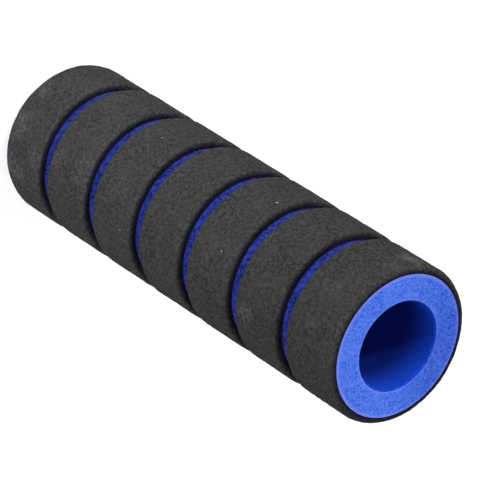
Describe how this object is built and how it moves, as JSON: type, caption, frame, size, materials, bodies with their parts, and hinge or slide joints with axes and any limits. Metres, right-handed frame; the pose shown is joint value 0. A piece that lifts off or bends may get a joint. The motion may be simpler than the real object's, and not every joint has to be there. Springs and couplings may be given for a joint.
{
  "type": "handlebar grip",
  "caption": "Cylindrical foam handlebar grip: a blue sleeve with a through bore under black bands parted by ring grooves.",
  "frame": {"origin": "centre of the bore in the plane of the rear end, which the grip stands on", "axes": "+Z along the bore towards the front end"},
  "size_m": [0.039, 0.039, 0.13],
  "materials": {
    "blue_foam": "matte closed-cell foam",
    "black_foam": "matte closed-cell foam"
  },
  "bodies": {
    "root": {"inner_sleeve": "blue_foam", "outer_band_1": "black_foam", "outer_band_2": "black_foam", "outer_band_3": "black_foam", "outer_band_4": "black_foam", "outer_band_5": "black_foam", "outer_band_6": "black_foam", "outer_band_7": "black_foam"}
  },
  "joints": []
}
